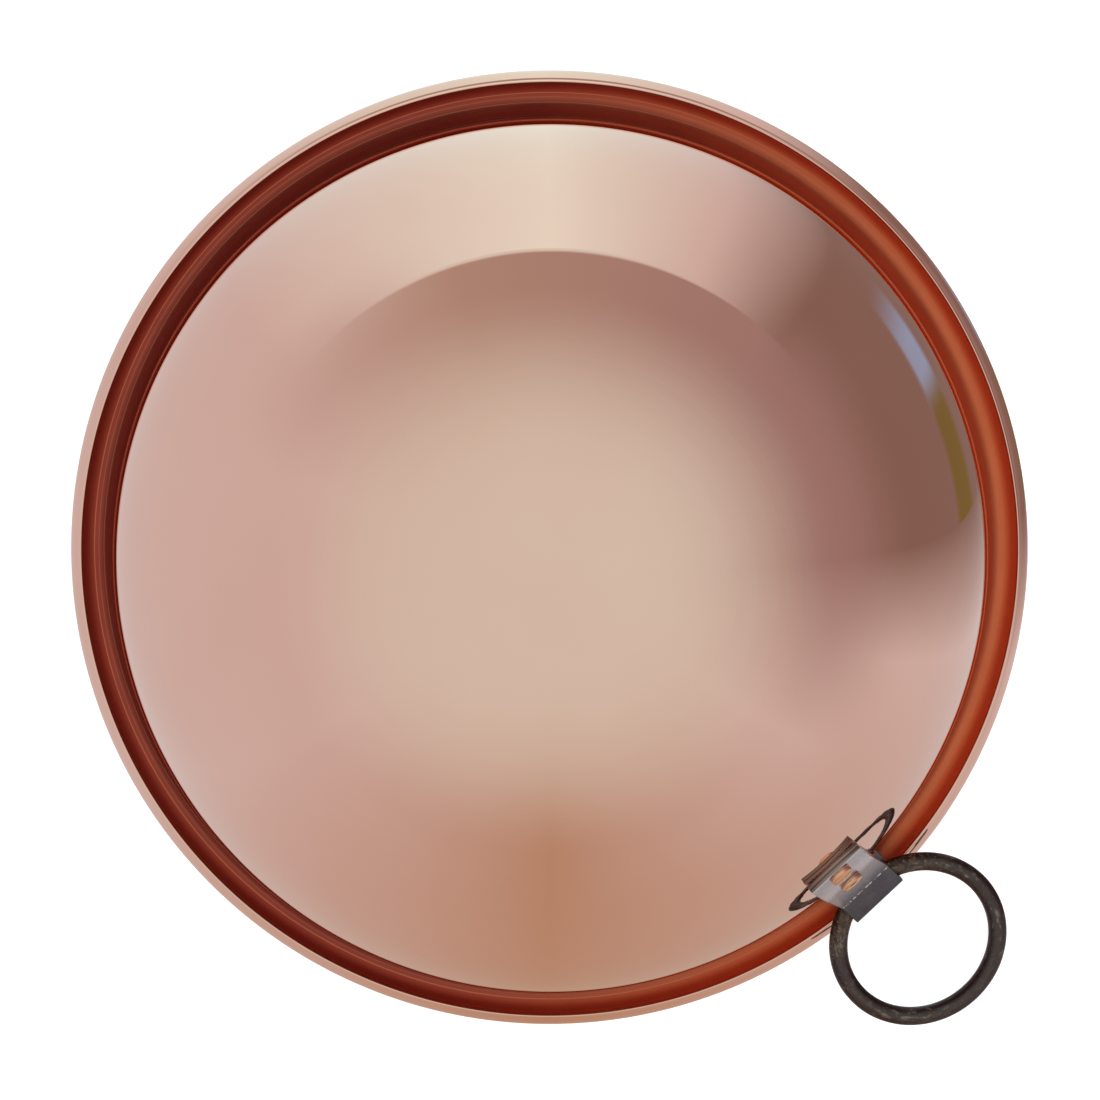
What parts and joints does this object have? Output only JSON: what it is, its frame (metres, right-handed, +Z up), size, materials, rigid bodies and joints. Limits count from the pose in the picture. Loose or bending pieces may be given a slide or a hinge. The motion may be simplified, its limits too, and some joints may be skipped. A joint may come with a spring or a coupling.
{
  "type": "mixing bowl",
  "caption": "Round-bottomed copper mixing bowl with an open rolled rim, a folded steel strap riveted to its side and a loose hanging ring.",
  "frame": {"origin": "on the bowl's axis, in the plane that the rim rests on when the bowl stands rim down", "axes": "+Z up along the bowl's axis to the crown of the dome; +X radially outwards through the strap and the ring; +Y completes a right-handed frame"},
  "size_m": [0.3367, 0.2916, 0.1498],
  "materials": {
    "bowl_copper": "spun and mirror polished copper, darker and duller inside the rolled rim",
    "rivet_copper": "bright copper, slightly darker than the bowl",
    "strap_steel": "rolled mild steel strip, blue-grey, fine brushed grain",
    "ring_steel": "blackened steel bar with a thin worn oxide scale"
  },
  "bodies": {
    "bowl": {"bowl_shell": "bowl_copper", "hanger_strap": "strap_steel", "rivet_upper": "rivet_copper", "rivet_lower": "rivet_copper"},
    "ring": {"hanging_ring": "ring_steel"}
  },
  "joints": [
    {"name": "ring_swing", "type": "hinge", "parent": "bowl", "child": "ring", "pos_m": [0.13915, 0, 0.01935], "axis": [0, -1, 0], "range_deg": [0, 114]}
  ]
}
